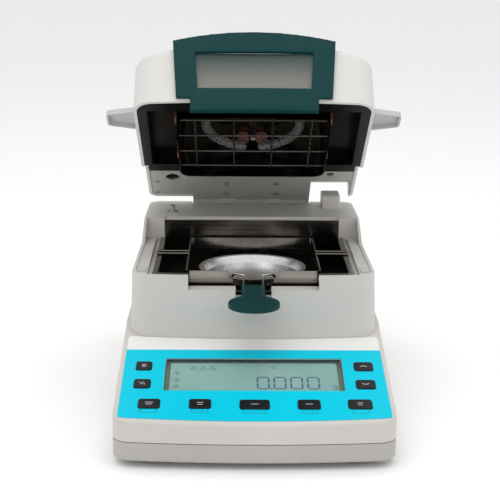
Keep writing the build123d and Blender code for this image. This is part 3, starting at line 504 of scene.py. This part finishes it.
iconLook = {
    "topPlaces": [(-46.0, 82.0), (-38.8, 82.0), (-31.6, 82.0)],
    "topStrokes": [(0, -2.3, 5.52, 0.45), (-1.15, 0, 0.45, 4.6, -0.5), (1.15, 0, 0.45, 4.6, 0.5),
                   (0, 1.38, 2.3, 0.45)],
    "sidePlaces": [(-58.5, 74.5), (-58.5, 64.5), (-58.5, 55.5)],
    "sideStrokes": [(0, 0, 0.45, 4.14, 0.75), (0, 0, 0.45, 4.14, -0.75), (-2.3, 0, 0.45, 2.3),
                    (2.3, 0, 0.45, 2.3), (0, 2.3, 2.3, 0.45), (0, -2.3, 2.3, 0.45)],
    "degreePlace": (14.5, 83.0),
    "degreeStrokes": [(-2.2, 1.5, 1.1, 1.1), (0, 0, 0.45, 3.2), (1.2, 1.7, 2.2, 0.45),
                      (1.2, -1.7, 2.2, 0.45)],
}


def makeIcons(look):
    # small signs along the display's top and left side, and degrees beside them
    strokes = []
    for row in ("top", "side"):
        for place in look[row + "Places"]:
            strokes += drawn(place, look[row + "Strokes"])
    strokes += drawn(look["degreePlace"], look["degreeStrokes"])
    layOnPanel(strokes, "display_icons", "base", "segmentInk", panelLook["displayFace"])


bracketLook = {
    "places": [(-76.7, 16.3), (-39.7, 16.2), (0.0, 15.6), (39.6, 15.9), (76.7, 16.3)],
    "halfWidths": [5.75, 5.75, 8.05, 5.75, 5.75], "length": 5.2, "stroke": 0.35,
    "sidePlaces": [(-39.7, 16.4), (39.6, 16.4)],
    "sideStrokes": [(-1.6, 0, 1.6, 0.5), (1.6, 0, 1.6, 1.6)],
    "middlePlace": (0.0, 15.9),
    "middleStrokes": [(-3.0, 0, 2.2, 0.5), (0, 0, 0.5, 2.4, -0.4), (3.0, 0, 2.2, 0.5)],
}


def makeBrackets(look):
    # small open frames under the lower row of keys, three of them with signs inside
    strokes = []
    t, length = look["stroke"], look["length"]
    for place, half in zip(look["places"], look["halfWidths"]):
        strokes += drawn(place, [(-half, 0, t, length), (half, 0, t, length),
                                 (0, -length / 2, 2 * half, t)])
    for place in look["sidePlaces"]:
        strokes += drawn(place, look["sideStrokes"])
    strokes += drawn(look["middlePlace"], look["middleStrokes"])
    layOnPanel(strokes, "key_brackets", "base", "darkInkAndShadow", panelLook["filmFace"])


keyMarkLook = {
    "up_key": ((83.5, 79.1), [(-1.1, 0, 3.6, 0.7, 0.5), (1.1, 0, 3.6, 0.7, -0.5)]),
    "down_key": ((83.1, 52.9), [(-1.1, 0, 3.6, 0.7, -0.5), (1.1, 0, 3.6, 0.7, 0.5)]),
    "menu_key": ((-83.6, 79.2), [(0, -1.6, 3.6, 0.55), (0, 0, 3.6, 0.55), (0, 1.6, 3.6, 0.55)]),
    "unit_key": ((-83.4, 53.2), [(0, 0, 0.6, 4.2, -0.6), (-1.8, 1.2, 1.1, 1.1),
                                 (1.8, -1.2, 1.1, 1.1)]),
    "calibrate_key": ((-76.7, 25.4), [(0, 1.3, 6.0, 0.6), (0, -1.3, 4.8, 0.6)]),
    "start_key": ((-39.7, 25.3), [(0, 1.3, 5.0, 0.6), (0, -1.3, 4.0, 0.6)]),
    "tare_key": ((0.0, 24.6), [(0, 0, 6.0, 0.6)]),
    "enter_key": ((39.6, 24.8), [(0, 0, 5.4, 0.6)]),
    "power_key": ((76.7, 25.3), [(0, 1.3, 4.4, 0.6), (0, -1.3, 3.52, 0.6)]),
}


def makeKeyMarks(look):
    for key, (place, strokes) in look.items():
        layOnPanel(drawn(place, strokes), key + "_mark", key, "whiteInk", panelLook["keyFace"])


makeReading(digitLook)
makeBezelShadow(bezelShadowLook)
makeIcons(iconLook)
makeBrackets(bracketLook)
makeKeyMarks(keyMarkLook)
print("panel marks laid")

# the lid's own pieces are shaped as if it were shut, and then swung up with it
lidSwing = {"angle": -37.4, "hingeRear": 4.5, "hingeHeight": 128.5}


def swungOpen(look):
    hinge = Vector((0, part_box("upper_housing")[1][1] - look["hingeRear"] * mm,
                    look["hingeHeight"] * mm))
    return (Matrix.Translation(hinge) @ Matrix.Rotation(radians(look["angle"]), 4, "X")
            @ Matrix.Translation(-hinge))


filamentLook = {
    "ringRadius": 40.0, "coilRadius": 2.1, "wire": 0.45, "turns": 62, "steps": 9,
    "middleFromFront": 206.5, "height": 139.0, "gapDegrees": 30.0,
}


def makeFilament(look):
    # the coil inside the ring lamp
    clearSelection()
    count = look["turns"] * look["steps"]
    path = bpy.data.curves.new("lamp_filament", "CURVE")
    path.dimensions = "3D"
    path.bevel_depth = look["wire"] * mm
    path.bevel_resolution = 1
    spline = path.splines.new("POLY")
    spline.points.add(count)
    span = radians(360 - look["gapDegrees"])
    first = radians(90 + look["gapDegrees"] / 2)
    for index in range(count + 1):
        around = first + span * index / count
        twist = radians(360) * index / look["steps"]
        reach = look["ringRadius"] + look["coilRadius"] * cos(twist)
        spline.points[index].co = (
            reach * cos(around) * mm,
            (baseFront + look["middleFromFront"] + reach * sin(around)) * mm,
            (look["height"] + look["coilRadius"] * sin(twist)) * mm, 1)
    coil = bpy.data.objects.new("lamp_filament", path)
    bpy.context.collection.objects.link(coil)
    coil.select_set(True)
    bpy.context.view_layer.objects.active = coil
    bpy.ops.object.convert(target="MESH")
    coil = bpy.context.object
    coil.matrix_world = swungOpen(lidSwing)
    bpy.ops.object.transform_apply(location=True, rotation=True, scale=True)
    coil.data.materials.clear()
    coil.data.materials.append(finishes["filamentWire"])
    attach(coil, "lid")


frameLook = {"grid": 0.0006, "softness": 0.5, "passes": 5, "flatAngle": 1.5,
             "smoothAngle": 40.0}


def makeSoftFrame(look):
    # the window frame again, fused and softened as one moulding
    clearSelection()
    source = nodes["window_frame"]
    soft = source.copy()
    soft.data = source.data.copy()
    soft.name = "soft_window_frame"
    soft.parent = None
    bpy.context.collection.objects.link(soft)
    soft.select_set(True)
    bpy.context.view_layer.objects.active = soft
    fused = soft.modifiers.new("fused", "REMESH")
    fused.mode = "VOXEL"
    fused.voxel_size = look["grid"]
    softer = soft.modifiers.new("softer", "SMOOTH")
    softer.factor = look["softness"]
    softer.iterations = look["passes"]
    flat = soft.modifiers.new("flat", "DECIMATE")
    flat.decimate_type = "DISSOLVE"
    flat.angle_limit = radians(look["flatAngle"])
    for step in ("fused", "softer", "flat"):
        bpy.ops.object.modifier_apply(modifier=step)
    bpy.ops.object.shade_smooth_by_angle(angle=radians(look["smoothAngle"]))
    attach(soft, "lid")
    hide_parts("window_frame")


makeFilament(filamentLook)
makeSoftFrame(frameLook)
print("lid dressed")

# floor, light and camera
studio = {
    "floorSize": 40.0, "floorColour": (0.97, 0.97, 0.97), "floorShade": 0.99,
    "floorRoughness": 0.7, "floorGrain": 300.0,
    "worldColour": (1.0, 1.0, 1.0), "worldStrength": 0.86,
    "lights": [
        ("keyLight", (-0.9, -1.0, 1.6), 1.2, 4.0),
        ("fillLight", (1.1, -0.8, 1.3), 1.2, 2.0),
        ("topLight", (0.0, 0.1, 1.8), 1.2, 7.0),
    ],
    "aim": (0.0, 0.0, 0.12),
    "cameraPlace": (-14.87, -885.28, 372.51), "cameraPitch": 13.36, "cameraYaw": 0.67,
    "cameraRoll": 0.41, "cameraLens": 95.54, "sensor": 36.0, "clipStart": 0.05,
}


def makeFloor(look):
    clearSelection()
    bpy.ops.mesh.primitive_plane_add(size=look["floorSize"], location=(0, 0, 0))
    floor = bpy.context.object
    floor.name = "studio_floor"
    shade = tuple(part * look["floorShade"] for part in look["floorColour"])
    floor.data.materials.append(mouldedPlastic("studioPaper", look["floorColour"], shade,
                                               look["floorRoughness"], 0.0, look["floorGrain"]))


def makeLights(look):
    for name, place, size, power in look["lights"]:
        lamp = bpy.data.lights.new(name, "AREA")
        lamp.shape = "SQUARE"
        lamp.size = size
        lamp.energy = power
        holder = bpy.data.objects.new(name, lamp)
        holder.location = place
        aim = Vector(look["aim"]) - Vector(place)
        holder.rotation_euler = aim.to_track_quat("-Z", "Y").to_euler()
        bpy.context.collection.objects.link(holder)
    world = bpy.data.worlds.new("studioWorld")
    world.use_nodes = True
    background = world.node_tree.nodes["Background"]
    background.inputs["Color"].default_value = look["worldColour"] + (1,)
    background.inputs["Strength"].default_value = look["worldStrength"]
    bpy.context.scene.world = world


def makeCamera(look):
    camera = bpy.data.cameras.new("photoCamera")
    camera.sensor_width = look["sensor"]
    camera.lens = look["cameraLens"]
    camera.clip_start = look["clipStart"]
    holder = bpy.data.objects.new("photoCamera", camera)
    x, y, z = look["cameraPlace"]
    turn = (Matrix.Rotation(radians(-look["cameraYaw"]), 4, "Z")
            @ Matrix.Rotation(radians(90 - look["cameraPitch"]), 4, "X")
            @ Matrix.Rotation(radians(look["cameraRoll"]), 4, "Z"))
    holder.matrix_world = Matrix.Translation((x * mm, (y + baseFront) * mm, z * mm)) @ turn
    bpy.context.collection.objects.link(holder)
    bpy.context.scene.camera = holder


makeFloor(studio)
makeLights(studio)
makeCamera(studio)
bpy.context.scene.view_settings.view_transform = "Standard"
print("studio ready")
